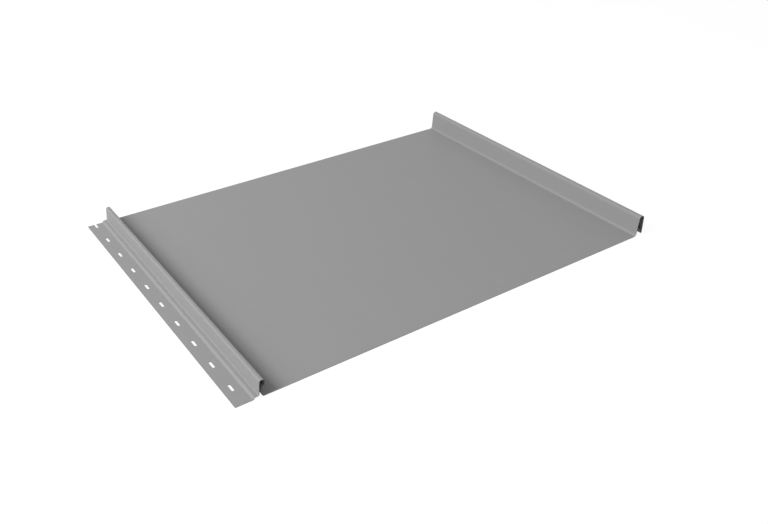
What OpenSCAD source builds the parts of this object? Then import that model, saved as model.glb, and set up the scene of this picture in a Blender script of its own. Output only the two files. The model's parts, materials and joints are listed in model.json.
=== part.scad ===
// Standing seam roof panel: one length of roll-formed, coil-coated steel sheet.
// A punched nailing strip and the male rib run along its left edge, the flat pan lies in
// the middle, and the female rib along its right edge snaps over the male rib of the next
// panel. X runs across the panel, Y along its seams and Z up. The origin lies on the
// surface that the panel rests on, under the middle of its outline.

/* [Sheet] */
// Length of the panel along its seams
panel_len = 400; // [150:1:530]
// Cover width: the pitch of the seams once the panels are locked together
cover_w = 508; // [250:1:600]
// Thickness of the coated sheet
sheet_t = 0.5; // [0.4:0.05:0.7]

/* [Nailing strip] */
// Flat width of the strip, from its free edge to the bend at the step
strip_w = 17.2; // [14:0.1:40]
// Distance from the free edge to the centre line of the slots
slot_inset = 9.1; // [5:0.1:10]
// Width of a slot
slot_w = 2.7; // [2:0.1:5]
// Length of a slot from end to end
slot_l = 10.4; // [6:0.1:20]
// Pitch of the slots
slot_pitch = 41; // [25:0.5:100]
// Distance from the near end of the panel to the centre of the first slot
slot_first = 26.8; // [12:0.1:60]

/* [Step beside the strip] */
// Height of the step, which leaves room for fastener heads under the next panel
step_h = 2.2; // [2:0.1:4]
// Slope of the step
step_angle = 60; // [45:1:70]
// Flat width on top of the step
step_w = 2.8; // [1:0.1:6]
// Inside radius of the bend at the foot of the step
step_foot_r = 2; // [0.5:0.1:2]
// Inside radius of the bend at the head of the step
step_head_r = 0.6; // [0.3:0.1:1]

/* [Male rib] */
// Overall height of the male rib
male_h = 19; // [18:0.1:22]
// Flat width on top of the male rib
male_top_w = 1.2; // [0.5:0.1:5]
// Lean of the outer leg of each rib, so that the two nest
leg_lean = 5.8; // [3:0.1:8]
// Height of the hook's underside
hook_h = 11.75; // [10:0.05:13]
// Distance that the hook stands out from the leg under it
hook_w = 2.9; // [2.4:0.1:4]
// Inside radius of the bend from the step to the male rib's outer leg
male_foot_r = 1.2; // [0.5:0.1:2]
// Inside radius of the bend from the outer leg to the top
male_shoulder_r = 1.7; // [0.5:0.1:2]
// Inside radius of the bend from the top to the hook
male_corner_r = 1.5; // [0.4:0.1:2.5]
// Inside radius of the bend at the hook's lower edge
hook_r = 0.5; // [0.3:0.1:0.8]
// Inside radius of the bend under the hook
hook_root_r = 0.9; // [0.3:0.1:1.2]
// Inside radius of the bend from the male rib to the pan
male_root_r = 1.1; // [0.5:0.1:3]

/* [Female rib] */
// Overall height of the female rib
female_h = 26; // [24:0.1:32]
// Inside radius of the bend from the pan to the female rib
female_root_r = 3.2; // [1:0.1:4]
// Height of the folded lower edge
fold_h = 1.95; // [1:0.05:3]
// Inside radius of the folded lower edge
fold_r = 0.55; // [0.3:0.05:0.7]

/* [Snap fit] */
// Gap between the outer legs of the two ribs
leg_play = 0.2; // [0:0.05:0.5]
// Gap between the hook and the wall of the female rib, in which the lip springs back
lip_room = 2.1; // [1.3:0.1:3]
// Distance that the lip reaches under the hook
lip_catch = 1.2; // [0.8:0.1:2.4]
// Gap between the lip's edge and the hook's underside
lip_play = 0.3; // [0.1:0.05:1]

/* [Hidden] */
$fn = 64;
sheet_colour = "#9a9c9e";
// How far a cut runs past the sheet
cut_over = 1;
// A bend is drawn in flats that each turn by no more than this
facet_angle = 10;

// The section is a path along the underside of the sheet, written as a list of steps:
// a flat run, or a bend that turns towards the coated face (angle > 0) or away from it.
function flat(length) = [length, 0, 0];
function bend(inside_r, angle) = [0, inside_r, angle];

// Radius of a bend along the underside of the sheet
function underside_r(step) = step[2] > 0 ? step[1] + sheet_t : step[1];

// Place and heading, [x, z, angle], at the end of one step and at the end of a path
function step_end(pose, step) =
    let (h = pose[2], turned = h + step[2], r = sign(step[2]) * underside_r(step))
    step[2] == 0
        ? [pose[0] + step[0] * cos(h), pose[1] + step[0] * sin(h), h]
        : [pose[0] + r * (sin(turned) - sin(h)), pose[1] + r * (cos(h) - cos(turned)), turned];
function path_end(path, pose = [0, 0, 0], i = 0) =
    i == len(path) ? pose : path_end(path, step_end(pose, path[i]), i + 1);

// Places along a path: where each flat run starts, and each facet of a bend, and the end
function part_of(step, share) = [step[0] * share, step[1], step[2] * share];
function facets(step) = max(1, ceil(abs(step[2]) / facet_angle));
function places(path, pose, i = 0) =
    i == len(path) ? [pose] : concat(
        [for (k = [0 : facets(path[i]) - 1]) step_end(pose, part_of(path[i], k / facets(path[i])))],
        places(path, step_end(pose, path[i]), i + 1)
    );

// Nailing strip and the step beside it. The slope takes up what the two bends leave.
step_foot = bend(step_foot_r, step_angle);
step_head = bend(step_head_r, -step_angle);
step_slope = (step_h - path_end([step_foot, step_head])[1]) / sin(step_angle);
strip_path = [flat(strip_w), step_foot, flat(step_slope), step_head, flat(step_w)];

// Male rib, from the step up the outer leg, over the top, round the hook and down to the pan
male_foot = bend(male_foot_r, 90 - leg_lean);
male_shoulder = bend(male_shoulder_r, leg_lean - 90);
male_leg = (male_h - sheet_t - path_end(concat(strip_path, [male_foot, male_shoulder]))[1])
    / cos(leg_lean);
hook_side = male_h - hook_h - male_corner_r - hook_r - 2 * sheet_t;
hook_shelf = hook_w - hook_r - hook_root_r - sheet_t;
root_leg = hook_h - hook_root_r - male_root_r - sheet_t;
male_over_path = concat(strip_path, [
    male_foot, flat(male_leg), male_shoulder, flat(male_top_w), bend(male_corner_r, -90)
]);
male_path = concat(male_over_path, [
    flat(hook_side), bend(hook_r, -90), flat(hook_shelf), bend(hook_root_r, 90),
    flat(root_leg), bend(male_root_r, 90)
]);

// Where the parts of the male rib lie that its neighbour's female rib fits round
male_leg_start = path_end(concat(strip_path, [male_foot]));
hook_side_x = path_end(male_over_path)[0] + sheet_t;
// A locked neighbour rests on the step
neighbour_lift = step_h + sheet_t;

// Female rib: the leg lies along the next panel's outer leg, and the wall beyond its hook
female_root = bend(female_root_r, 90 - leg_lean);
female_leg_z = path_end([female_root])[1];
female_leg_x = cover_w + male_leg_start[0] - (sheet_t + leg_play) / cos(leg_lean)
    + (neighbour_lift + female_leg_z - male_leg_start[1]) * tan(leg_lean);
female_wall_x = cover_w + hook_side_x + lip_room;
// The arch is tangent to the leaning leg, the top and the upright wall
arch_r = round(1000 * (female_wall_x - female_leg_x
    - (female_h - sheet_t - female_leg_z) * tan(leg_lean))
    / (1 + cos(leg_lean) - (1 - sin(leg_lean)) * tan(leg_lean))) / 1000;
female_leg = (female_h - sheet_t - arch_r * (1 - sin(leg_lean)) - female_leg_z) / cos(leg_lean);
fold_centre_z = fold_h + fold_r + sheet_t;
female_wall = female_h - sheet_t - arch_r - fold_centre_z;
pan_w = female_leg_x - path_end([female_root])[0] - path_end(male_path)[0];

// The lip springs from the fold and leans until its edge lies just under the hook
lip_reach = lip_room + lip_catch - fold_r;
lip_rise = hook_h - neighbour_lift - lip_play - fold_centre_z;
lip_w = sqrt(lip_reach * lip_reach + lip_rise * lip_rise - fold_r * fold_r);
lip_lean = atan2(lip_reach, lip_rise) - atan2(fold_r, lip_w);
female_path = [
    female_root, flat(female_leg), bend(arch_r, leg_lean - 90), bend(arch_r, -90),
    flat(female_wall), bend(fold_r, -90), bend(fold_r, lip_lean - 90), flat(lip_w)
];

panel_path = concat(male_path, [flat(pan_w)], female_path);
panel_w = female_wall_x + sheet_t;
slot_count = 1 + floor((panel_len - slot_first + slot_l / 2) / slot_pitch);

// Section of the sheet, out along its underside and back along its coated face
module sheet_section(path, start) {
    under = places(path, start);
    face = [for (p = under) [p[0] - sheet_t * sin(p[2]), p[1] + sheet_t * cos(p[2])]];
    polygon(concat(
        [for (p = under) [p[0], p[1]]],
        [for (i = [len(face) - 1 : -1 : 0]) face[i]]
    ));
}

// Slot with round ends, centred on the origin and longer than the sheet is thick
module slot_cut() {
    half = slot_l / 2 - slot_w / 2;
    height = sheet_t + 2 * cut_over;
    for (end = [-half, half])
        translate([0, end, -cut_over])
            cylinder(d = slot_w, h = height);
    translate([-slot_w / 2, -half, -cut_over])
        cube([slot_w, 2 * half, height]);
}

// The slots start near one end and run on past the other, where the shear cuts the last
module slot_row() {
    for (i = [0 : slot_count - 1])
        translate([slot_inset - panel_w / 2, slot_first - panel_len / 2 + i * slot_pitch, 0])
            slot_cut();
}

module roof_panel() {
    color(sheet_colour)
        difference() {
            translate([0, panel_len / 2, 0])
                rotate([90, 0, 0])
                    linear_extrude(height = panel_len)
                        sheet_section(panel_path, [-panel_w / 2, 0, 0]);
            slot_row();
        }
}

roof_panel();
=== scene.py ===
"""Standing seam roof panel: one length of roll-formed, coil-coated steel sheet.

The sheet is formed here as the roll former makes it. Its section is a path of flats and
bends along the underside, drawn once in millimetres. Geometry Nodes run that section out
to the panel's length, punch the row of slots and give each side its finish.
"""

import json
import math

import bpy
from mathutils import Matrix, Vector


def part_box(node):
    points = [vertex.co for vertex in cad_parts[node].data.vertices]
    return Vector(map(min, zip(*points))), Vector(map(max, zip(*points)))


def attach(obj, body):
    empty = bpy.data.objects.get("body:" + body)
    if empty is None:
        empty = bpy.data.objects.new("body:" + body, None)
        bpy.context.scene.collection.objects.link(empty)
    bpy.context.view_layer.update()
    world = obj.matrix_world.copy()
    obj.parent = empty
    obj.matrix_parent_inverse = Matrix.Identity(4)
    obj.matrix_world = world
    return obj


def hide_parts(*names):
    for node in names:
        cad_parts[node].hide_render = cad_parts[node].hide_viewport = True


MM = 0.001

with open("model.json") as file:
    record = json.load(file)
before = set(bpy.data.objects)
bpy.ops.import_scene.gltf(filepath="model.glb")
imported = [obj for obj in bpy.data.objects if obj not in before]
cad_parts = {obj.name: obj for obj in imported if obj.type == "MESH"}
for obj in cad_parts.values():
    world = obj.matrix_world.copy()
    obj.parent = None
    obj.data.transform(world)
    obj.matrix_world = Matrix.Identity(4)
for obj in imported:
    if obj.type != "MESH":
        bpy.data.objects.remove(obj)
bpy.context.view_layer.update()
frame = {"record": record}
panel_low, panel_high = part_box("roof_panel")
mounts = {mount["name"]: mount for mount in frame["record"]["mounts"]}

# --------------------------------------------------------------------------------------
# Sizes of the section, in millimetres and degrees, as in the part's source
# --------------------------------------------------------------------------------------

SHEET_T = 0.5
COVER_W = 508

STRIP_W = 17.2
STEP_H = 2.2
STEP_ANGLE = 60
STEP_W = 2.8
STEP_FOOT_R = 2
STEP_HEAD_R = 0.6

MALE_H = 19
MALE_TOP_W = 1.2
LEG_LEAN = 5.8
HOOK_H = 11.75
HOOK_W = 2.9
MALE_FOOT_R = 1.2
MALE_SHOULDER_R = 1.7
MALE_CORNER_R = 1.5
HOOK_R = 0.5
HOOK_ROOT_R = 0.9
MALE_ROOT_R = 1.1

FEMALE_H = 26
FEMALE_ROOT_R = 3.2
FOLD_H = 1.95
FOLD_R = 0.55

LEG_PLAY = 0.2
LIP_ROOM = 2.1
LIP_CATCH = 1.2
LIP_PLAY = 0.3

# A bend turns by no more than this from one flat facet to the next
FACET_TURN = 3
# A flat has a line of points this far from each end, which keeps its shading flat
HOLD_W = 0.15
# Edges that fold by more than this are drawn sharp, in degrees
SHARP_FOLD = 30
# Points this close together are one point
WELD_GAP = 0.001
# Points along each rounded corner of a slot
SLOT_CORNER_POINTS = 12
# The punches start under the sheet and end as far over it
PUNCH_DEPTH = 4 * SHEET_T

# --------------------------------------------------------------------------------------
# The path along the underside of the sheet
# --------------------------------------------------------------------------------------


def flat(length):
    return (length, 0.0, 0.0)


def bend(inside_r, turn):
    """A bend towards the coated face for a turn above zero, and away from it below."""
    return (0.0, inside_r, turn)


def step_end(pose, step, share=1.0):
    """The place and heading, (x, z, degrees), after a share of one step."""
    x, z, heading = pose
    length, inside_r, turn = step
    turned = heading + turn * share
    start, end = math.radians(heading), math.radians(turned)
    if turn == 0:
        run = length * share
        return (x + run * math.cos(start), z + run * math.sin(start), heading)
    r = inside_r + SHEET_T if turn > 0 else -inside_r
    return (
        x + r * (math.sin(end) - math.sin(start)),
        z + r * (math.cos(start) - math.cos(end)),
        turned,
    )


def path_end(path, pose=(0.0, 0.0, 0.0)):
    for step in path:
        pose = step_end(pose, step)
    return pose


def panel_path():
    """The whole section, from the strip's free edge to the edge of the lip."""
    lean = math.radians(LEG_LEAN)

    foot, head = bend(STEP_FOOT_R, STEP_ANGLE), bend(STEP_HEAD_R, -STEP_ANGLE)
    slope = (STEP_H - path_end([foot, head])[1]) / math.sin(math.radians(STEP_ANGLE))
    strip = [flat(STRIP_W), foot, flat(slope), head, flat(STEP_W)]

    male_foot = bend(MALE_FOOT_R, 90 - LEG_LEAN)
    male_shoulder = bend(MALE_SHOULDER_R, LEG_LEAN - 90)
    bends_rise = path_end(strip + [male_foot, male_shoulder])[1]
    male_leg = (MALE_H - SHEET_T - bends_rise) / math.cos(lean)
    male_over = strip + [
        male_foot,
        flat(male_leg),
        male_shoulder,
        flat(MALE_TOP_W),
        bend(MALE_CORNER_R, -90),
    ]
    male = male_over + [
        flat(MALE_H - HOOK_H - MALE_CORNER_R - HOOK_R - 2 * SHEET_T),
        bend(HOOK_R, -90),
        flat(HOOK_W - HOOK_R - HOOK_ROOT_R - SHEET_T),
        bend(HOOK_ROOT_R, 90),
        flat(HOOK_H - HOOK_ROOT_R - MALE_ROOT_R - SHEET_T),
        bend(MALE_ROOT_R, 90),
    ]

    # The female rib fits round the next panel's male rib, which lies under it
    leg_start_x, leg_start_z, _ = path_end(strip + [male_foot])
    neighbour_lift = STEP_H + SHEET_T
    female_root = bend(FEMALE_ROOT_R, 90 - LEG_LEAN)
    root_w, leg_z, _ = path_end([female_root])
    leg_x = COVER_W + leg_start_x - (SHEET_T + LEG_PLAY) / math.cos(lean)
    leg_x += (neighbour_lift + leg_z - leg_start_z) * math.tan(lean)
    wall_x = COVER_W + path_end(male_over)[0] + SHEET_T + LIP_ROOM
    arch_room = wall_x - leg_x - (FEMALE_H - SHEET_T - leg_z) * math.tan(lean)
    arch_r = arch_room / (1 + math.cos(lean) - (1 - math.sin(lean)) * math.tan(lean))
    leg_rise = FEMALE_H - SHEET_T - arch_r * (1 - math.sin(lean)) - leg_z
    fold_centre_z = FOLD_H + FOLD_R + SHEET_T
    lip_reach = LIP_ROOM + LIP_CATCH - FOLD_R
    lip_rise = HOOK_H - neighbour_lift - LIP_PLAY - fold_centre_z
    lip_w = math.sqrt(lip_reach**2 + lip_rise**2 - FOLD_R**2)
    lip_lean = math.degrees(math.atan2(lip_reach, lip_rise) - math.atan2(FOLD_R, lip_w))
    female = [
        female_root,
        flat(leg_rise / math.cos(lean)),
        bend(arch_r, LEG_LEAN - 90),
        bend(arch_r, -90),
        flat(FEMALE_H - SHEET_T - arch_r - fold_centre_z),
        bend(FOLD_R, -90),
        bend(FOLD_R, lip_lean - 90),
        flat(lip_w),
    ]

    pan = flat(leg_x - root_w - path_end(male)[0])
    return male + [pan] + female


def shares(step):
    """Where one step of the path has points, as shares of it, from its start on."""
    length, _, turn = step
    if turn:
        count = math.ceil(abs(turn) / FACET_TURN)
        return [i / count for i in range(count)]
    hold = HOLD_W / length
    return [0.0, hold, 1 - hold] if length > 3 * HOLD_W else [0.0]


def middle_length(step):
    """Length of a step along the middle of the sheet, as on the flat blank."""
    length, inside_r, turn = step
    return length + (inside_r + SHEET_T / 2) * math.radians(abs(turn))


def stations(path, pose):
    """Every point of the path: (x, z, heading) and the distance across the flat blank."""
    across, found = 0.0, []
    for step in path:
        for share in shares(step):
            distance = across + middle_length(step) * share
            found.append((step_end(pose, step, share), distance))
        pose = step_end(pose, step)
        across += middle_length(step)
    return found + [(pose, across)]


# --------------------------------------------------------------------------------------
# Node helpers
# --------------------------------------------------------------------------------------


def socket_of(sockets, key):
    """The socket at a number, or the one in use that has a name."""
    if isinstance(key, int):
        return sockets[key]
    return next(s for s in sockets if s.enabled and s.name == key)


def node(tree, kind, values=None, links=None, output=0, **settings):
    """Adds a node with its settings, its sockets' values and the sockets that feed it.

    Returns one of its outputs: the first in use, or the one that output names.
    """
    made = tree.nodes.new(kind)
    for name, value in settings.items():
        setattr(made, name, value)
    for key, value in (values or {}).items():
        socket_of(made.inputs, key).default_value = value
    for key, source in (links or {}).items():
        tree.links.new(source, socket_of(made.inputs, key))
    in_use = [s for s in made.outputs if s.enabled]
    if not in_use:
        return None
    return in_use[output] if isinstance(output, int) else socket_of(in_use, output)


def linear(hex_colour):
    """An sRGB hex colour as the linear RGBA that the shaders take."""
    channels = [int(hex_colour[i : i + 2], 16) / 255 for i in (1, 3, 5)]
    curve = [c / 12.92 if c <= 0.04045 else ((c + 0.055) / 1.055) ** 2.4 for c in channels]
    return (*curve, 1.0)


def empty_material(name):
    material = bpy.data.materials.new(name)
    material.use_nodes = True
    material.node_tree.nodes.clear()
    return material, material.node_tree


# --------------------------------------------------------------------------------------
# Finishes
# --------------------------------------------------------------------------------------

BLANK_MAP = "blank"

# Sizes of the patterns, in millimetres
STREAK_W, STREAK_L = 7, 250
PEEL_W, PEEL_DEPTH = 3, 0.02
TEAR_W, TEAR_DEPTH = 0.8, 0.03


def coil_pattern(tree, across_mm, along_mm, detail):
    """Noise on the flat blank, across_mm wide and along_mm long in the coil's direction."""
    blank = node(tree, "ShaderNodeUVMap", uv_map=BLANK_MAP)
    stretched = node(
        tree,
        "ShaderNodeMapping",
        {"Scale": (1 / (across_mm * MM), 1 / (along_mm * MM), 1)},
        {"Vector": blank},
    )
    return node(
        tree, "ShaderNodeTexNoise", {"Scale": 1, "Detail": detail}, {"Vector": stretched}
    )


def coil_coat(name, light, dark, smooth, rough, grain_mm, peel):
    """A roller-applied, stoved coil coating: even in colour, with a soft satin sheen.

    Up close it has a fine grain, drawn grain_mm wide because the real one is finer than
    shows, faint streaks from the coating roller, 7 mm wide and a quarter of a metre long,
    and a slow orange peel, 3 mm from crest to crest. The grain scatters light a little
    wider than a smooth film does, so a surface stays light as it turns from the lamps.
    """
    material, tree = empty_material(name)
    streaks = coil_pattern(tree, STREAK_W, STREAK_L, 2)
    grain = coil_pattern(tree, grain_mm, grain_mm, 3)
    tone = node(
        tree,
        "ShaderNodeMix",
        {"Factor": 0.5},
        {"A": streaks, "B": grain},
        data_type="FLOAT",
    )
    colour = node(
        tree,
        "ShaderNodeMix",
        {"A": linear(dark), "B": linear(light)},
        {"Factor": tone},
        data_type="RGBA",
    )
    roughness = node(
        tree, "ShaderNodeMapRange", {"To Min": smooth, "To Max": rough}, {"Value": grain}
    )
    crests = coil_pattern(tree, PEEL_W, PEEL_W, 1)
    surface = node(
        tree,
        "ShaderNodeBump",
        {"Strength": peel, "Distance": PEEL_DEPTH * MM},
        {"Height": crests},
    )
    shader = node(
        tree,
        "ShaderNodeBsdfPrincipled",
        {"IOR": 1.5, "Diffuse Roughness": 0.15},
        {"Base Color": colour, "Roughness": roughness, "Normal": surface},
    )
    node(tree, "ShaderNodeOutputMaterial", links={"Surface": shader})
    return material


def sheared_steel_in_painted_shade(name):
    """The sheet's sheared edge, left bare: grey steel, torn in grains of about 0.8 mm.

    Its two tones are painted far darker than bare steel, as painted shade for edges that
    face away from the lamps. Zinc from the two faces is smeared over it in places, which
    lightens it in patches.
    """
    material, tree = empty_material(name)
    place = node(tree, "ShaderNodeTexCoord", output="Object")
    tear = node(
        tree,
        "ShaderNodeTexNoise",
        {"Scale": 1 / (TEAR_W * MM), "Detail": 3},
        {"Vector": place},
    )
    # Both tones are painted shade: much darker than bare steel, standing in for the shade
    # on edges turned from the lamps
    colour = node(
        tree,
        "ShaderNodeMix",
        {"A": linear("#3a3b3c"), "B": linear("#585a5b")},
        {"Factor": tear},
        data_type="RGBA",
    )
    roughness = node(
        tree, "ShaderNodeMapRange", {"To Min": 0.4, "To Max": 0.6}, {"Value": tear}
    )
    surface = node(
        tree,
        "ShaderNodeBump",
        {"Strength": 0.5, "Distance": TEAR_DEPTH * MM},
        {"Height": tear},
    )
    shader = node(
        tree,
        "ShaderNodeBsdfPrincipled",
        {"Metallic": 1},
        {"Base Color": colour, "Roughness": roughness, "Normal": surface},
    )
    node(tree, "ShaderNodeOutputMaterial", links={"Surface": shader})
    return material


# --------------------------------------------------------------------------------------
# The panel
# --------------------------------------------------------------------------------------

# Where a point or a face lies in the sheet's thickness, which tells its finish
SIDE = "side"
BACK, CUT, FACE = 0.0, 0.5, 1.0
ACROSS = "across"


def section_mesh():
    """The section as a strip of quads at the panel's near end, facing along the panel."""
    start = (panel_low.x / MM, panel_low.z / MM, 0.0)
    points, sides, across = [], [], []
    for (x, z, heading), distance in stations(panel_path(), start):
        turned = math.radians(heading)
        face_x, face_z = x - SHEET_T * math.sin(turned), z + SHEET_T * math.cos(turned)
        points += [(x * MM, panel_low.y, z * MM), (face_x * MM, panel_low.y, face_z * MM)]
        sides += [BACK, FACE]
        across += [distance * MM] * 2
    quads = [(i, i + 1, i + 3, i + 2) for i in range(0, len(points) - 2, 2)]
    mesh = bpy.data.meshes.new("panel_section")
    mesh.from_pydata(points, [], quads)
    for name, values in ((SIDE, sides), (ACROSS, across)):
        mesh.attributes.new(name, "FLOAT", "POINT").data.foreach_set("value", values)
    return mesh


def run_out(tree, outline, offset):
    """The closed solid that a flat outline sweeps as it moves by offset."""
    swept = node(
        tree,
        "GeometryNodeExtrudeMesh",
        {"Individual": False},
        {"Mesh": outline, "Offset": offset},
        mode="FACES",
    )
    start_cap = node(tree, "GeometryNodeFlipFaces", links={"Mesh": outline})
    joined = tree.nodes.new("GeometryNodeJoinGeometry")
    for part in (start_cap, swept):
        tree.links.new(part, joined.inputs["Geometry"])
    return node(
        tree,
        "GeometryNodeMergeByDistance",
        {"Distance": WELD_GAP * MM},
        {"Geometry": joined.outputs["Geometry"]},
    )


def slot_cutters(tree, sizes):
    """The punches of the slot row, on a line along the strip."""
    outline = node(
        tree,
        "GeometryNodeCurvePrimitiveQuadrilateral",
        links={"Width": sizes["Slot width"], "Height": sizes["Slot length"]},
        mode="RECTANGLE",
    )
    radius = node(
        tree, "ShaderNodeMath", {1: 0.5}, {0: sizes["Slot width"]}, operation="MULTIPLY"
    )
    rounded = node(
        tree,
        "GeometryNodeFilletCurve",
        {"Count": SLOT_CORNER_POINTS, "Limit Radius": True},
        {"Curve": outline, "Radius": radius},
        mode="POLY",
    )
    filled = node(tree, "GeometryNodeFillCurve", links={"Curve": rounded}, mode="NGONS")
    welded = node(
        tree,
        "GeometryNodeMergeByDistance",
        {"Distance": WELD_GAP * MM},
        {"Geometry": filled},
    )
    depth = node(tree, "ShaderNodeCombineXYZ", {"Z": PUNCH_DEPTH * MM})
    punch = run_out(tree, welded, depth)
    pitch = node(tree, "ShaderNodeCombineXYZ", links={"Y": sizes["Slot pitch"]})
    places = node(
        tree,
        "GeometryNodeMeshLine",
        links={
            "Count": sizes["Slot count"],
            "Start Location": sizes["First slot"],
            "Offset": pitch,
        },
        mode="OFFSET",
    )
    row = node(
        tree, "GeometryNodeInstanceOnPoints", links={"Points": places, "Instance": punch}
    )
    return node(tree, "GeometryNodeRealizeInstances", links={"Geometry": row})


def mark_side(tree, geometry, value=None):
    """Keeps where each face lies in the thickness: as its points say, or at one value."""
    links = {"Geometry": geometry}
    values = {"Name": SIDE}
    if value is None:
        links["Value"] = node(tree, "GeometryNodeInputNamedAttribute", {"Name": SIDE})
    else:
        values["Value"] = value
    return node(
        tree,
        "GeometryNodeStoreNamedAttribute",
        values,
        links,
        data_type="FLOAT",
        domain="FACE",
    )


def give_finish(tree, geometry, material, side):
    """Sets a material on the faces of one side."""
    found = node(tree, "GeometryNodeInputNamedAttribute", {"Name": SIDE})
    chosen = node(
        tree,
        "FunctionNodeCompare",
        {"B": side, "Epsilon": 0.1},
        {"A": found},
        data_type="FLOAT",
        operation="EQUAL",
    )
    return node(
        tree,
        "GeometryNodeSetMaterial",
        {"Material": material},
        {"Geometry": geometry, "Selection": chosen},
    )


def roll_former(finishes):
    """The node group that turns the section into the punched and finished panel."""
    tree = bpy.data.node_groups.new("roll_former", "GeometryNodeTree")
    sockets = {"Section": "NodeSocketGeometry", "Length": "NodeSocketFloat"}
    sockets |= {"Slot width": "NodeSocketFloat", "Slot length": "NodeSocketFloat"}
    sockets |= {"Slot pitch": "NodeSocketFloat", "Slot count": "NodeSocketInt"}
    sockets |= {"First slot": "NodeSocketVector"}
    for name, kind in sockets.items():
        tree.interface.new_socket(name, in_out="INPUT", socket_type=kind)
    tree.interface.new_socket("Panel", in_out="OUTPUT", socket_type="NodeSocketGeometry")
    entry = tree.nodes.new("NodeGroupInput")
    sizes = {name: entry.outputs[name] for name in sockets}

    run = node(tree, "ShaderNodeCombineXYZ", links={"Y": sizes["Length"]})
    blank = mark_side(tree, run_out(tree, sizes["Section"], run))
    punches = mark_side(tree, slot_cutters(tree, sizes), CUT)
    panel = node(
        tree,
        "GeometryNodeMeshBoolean",
        links={"Mesh 1": blank, "Mesh 2": punches},
        operation="DIFFERENCE",
        solver="MANIFOLD",
    )

    # The place of every point on the flat blank, for patterns that follow the coil
    across = node(tree, "GeometryNodeInputNamedAttribute", {"Name": ACROSS})
    place = node(tree, "GeometryNodeInputPosition")
    along = node(tree, "ShaderNodeSeparateXYZ", links={"Vector": place}, output="Y")
    on_blank = node(tree, "ShaderNodeCombineXYZ", links={"X": across, "Y": along})
    panel = node(
        tree,
        "GeometryNodeStoreNamedAttribute",
        {"Name": BLANK_MAP},
        {"Geometry": panel, "Value": on_blank},
        data_type="FLOAT2",
        domain="CORNER",
    )

    panel = node(
        tree, "GeometryNodeSetShadeSmooth", links={"Geometry": panel}, domain="FACE"
    )
    fold = node(tree, "GeometryNodeInputMeshEdgeAngle")
    sharp = node(
        tree,
        "ShaderNodeMath",
        {1: math.radians(SHARP_FOLD)},
        {0: fold},
        operation="GREATER_THAN",
    )
    panel = node(
        tree,
        "GeometryNodeSetShadeSmooth",
        {"Shade Smooth": False},
        {"Geometry": panel, "Selection": sharp},
        domain="EDGE",
    )
    panel = node(tree, "GeometryNodeRealizeInstances", links={"Geometry": panel})
    for side, material in finishes.items():
        panel = give_finish(tree, panel, material, side)
    node(tree, "NodeGroupOutput", links={"Panel": panel})
    return tree


def baked(piece):
    """Turns what the piece's modifiers make into its own plain mesh."""
    seen = piece.evaluated_get(bpy.context.evaluated_depsgraph_get())
    mesh = bpy.data.meshes.new_from_object(seen)
    piece.modifiers.clear()
    piece.data = mesh
    mesh.name = piece.name
    return piece


def roof_panel(finishes):
    """The panel, with its slots where the record's bolt patterns have them."""
    first = mounts["nail_slots_1_2"]
    slots = first["dims"]
    pitch, slot_length = slots["spacing_y_mm"] * MM, slots["slot_length_mm"] * MM
    slot_x, middle_y, _ = first["pos_m"]
    first_y = middle_y - pitch / 2
    punch_z = panel_low.z - (PUNCH_DEPTH - SHEET_T) / 2 * MM
    # The last slot is cut open by the panel's far end
    count = 1 + math.floor((panel_high.y + slot_length / 2 - first_y) / pitch)

    piece = bpy.data.objects.new("formed_sheet", section_mesh())
    bpy.context.scene.collection.objects.link(piece)
    modifier = piece.modifiers.new("roll_former", "NODES")
    modifier.node_group = roll_former(finishes)
    sizes = {
        "Length": panel_high.y - panel_low.y,
        "Slot width": 2 * slots["hole_r_mm"] * MM,
        "Slot length": slot_length,
        "Slot pitch": pitch,
        "Slot count": count,
        "First slot": (slot_x, first_y, punch_z),
    }
    identifiers = {
        item.name: item.identifier for item in modifier.node_group.interface.items_tree
    }
    for name, value in sizes.items():
        modifier[identifiers[name]] = value
    return baked(piece)


# --------------------------------------------------------------------------------------
# Stage, light and camera
# --------------------------------------------------------------------------------------

WHITE = linear("#ffffff")
# The floor lies this far under the panel, in millimetres, so that they share no plane
FLOOR_GAP = 0.2
# Side of a softbox, in metres
SOFTBOX_W = 1.1


def seen_directly(tree):
    """1 for camera, glossy and transmitted rays, which see the backdrop, else 0."""
    kinds = [
        node(tree, "ShaderNodeLightPath", output=name)
        for name in ("Is Camera Ray", "Is Glossy Ray", "Is Transmission Ray")
    ]
    most = kinds[0]
    for kind in kinds[1:]:
        most = node(tree, "ShaderNodeMath", links={0: most, 1: kind}, operation="MAXIMUM")
    return most


def white_floor(size, colour, glow, veil):
    """A pale matt floor.

    Seen directly it glows a little short of white, and a thin matt veil over it brings it
    up to white wherever the panel's shadow doesn't fall.
    """
    material, tree = empty_material("matt_floor")
    matt = node(tree, "ShaderNodeBsdfDiffuse", {"Color": linear(colour)})
    backlit = node(tree, "ShaderNodeEmission", {"Color": WHITE, "Strength": glow})
    lit = node(tree, "ShaderNodeBsdfDiffuse", {"Color": (veil, veil, veil, 1)})
    seen = node(tree, "ShaderNodeAddShader", links={0: backlit, 1: lit})
    floor_shader = node(
        tree, "ShaderNodeMixShader", links={"Fac": seen_directly(tree), 1: matt, 2: seen}
    )
    node(tree, "ShaderNodeOutputMaterial", links={"Surface": floor_shader})
    mesh = bpy.data.meshes.new("floor")
    half = size / 2
    z = panel_low.z - FLOOR_GAP * MM
    corners = [(-half, -half, z), (half, -half, z), (half, half, z), (-half, half, z)]
    mesh.from_pydata(corners, [], [(0, 1, 2, 3)])
    mesh.materials.append(material)
    floor = bpy.data.objects.new("floor", mesh)
    bpy.context.scene.collection.objects.link(floor)


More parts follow.
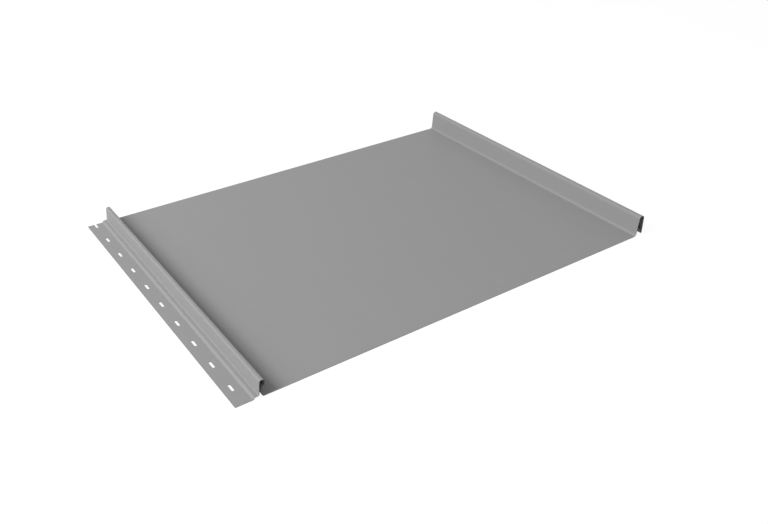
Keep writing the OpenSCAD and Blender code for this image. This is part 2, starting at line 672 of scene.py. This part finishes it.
def studio_world(fill):
    """Even fill light from all round, behind a white backdrop."""
    world = bpy.data.worlds.new("studio")
    world.use_nodes = True
    tree = world.node_tree
    tree.nodes.clear()
    ambient = node(tree, "ShaderNodeBackground", {"Color": WHITE, "Strength": fill})
    backdrop = node(tree, "ShaderNodeBackground", {"Color": WHITE, "Strength": 1})
    both = node(
        tree,
        "ShaderNodeMixShader",
        links={"Fac": seen_directly(tree), 1: ambient, 2: backdrop},
    )
    node(tree, "ShaderNodeOutputWorld", links={"Surface": both})
    bpy.context.scene.world = world


def softbox(name, place, power):
    """A square area lamp that faces the middle of the panel from place."""
    lamp = bpy.data.lights.new(name, "AREA")
    lamp.shape = "SQUARE"
    lamp.size = SOFTBOX_W
    lamp.energy = power
    light = bpy.data.objects.new(name, lamp)
    light.location = place
    light.rotation_euler = (-Vector(place)).to_track_quat("-Z", "Y").to_euler()
    bpy.context.scene.collection.objects.link(light)


def studio_camera():
    """Looks down over the nailing strip, from the near end."""
    camera = bpy.data.cameras.new("camera")
    camera.lens = 39.58
    camera.sensor_width = 36
    holder = bpy.data.objects.new("camera", camera)
    holder.location = (-0.48936, -0.74502, 0.51192)
    look_down, look_right = 32.015, 34.975
    holder.rotation_euler = (math.radians(90 - look_down), 0, math.radians(-look_right))
    bpy.context.scene.collection.objects.link(holder)
    bpy.context.scene.camera = holder


studio_camera()
finishes = {
    BACK: coil_coat(
        "grey_epoxy_back_coat",
        light="#969896",
        dark="#8e908e",
        smooth=0.6,
        rough=0.7,
        grain_mm=1.2,
        peel=0.3,
    ),
    # The cut edges carry painted shade: a steel colour darkened for edges turned from the
    # lamps
    CUT: sheared_steel_in_painted_shade("sheared_steel_painted_shade"),
    FACE: coil_coat(
        "satin_grey_coil_coat",
        light="#9d9d9e",
        dark="#979798",
        smooth=0.58,
        rough=0.68,
        grain_mm=1.0,
        peel=0.2,
    ),
}
panel = roof_panel(finishes)
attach(panel, "root")
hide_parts("roof_panel")

white_floor(size=10, colour="#b4b4b4", glow=0.93, veil=0.12)
studio_world(fill=0.33)
softbox("key", (-1.858, 0, 1.673), power=33.5)
softbox("side", (-2.207, 0, 1.174), power=10.1)
softbox("back", (-1.314, 1.314, 1.673), power=7.25)

scene = bpy.context.scene
scene.view_settings.view_transform = "Standard"
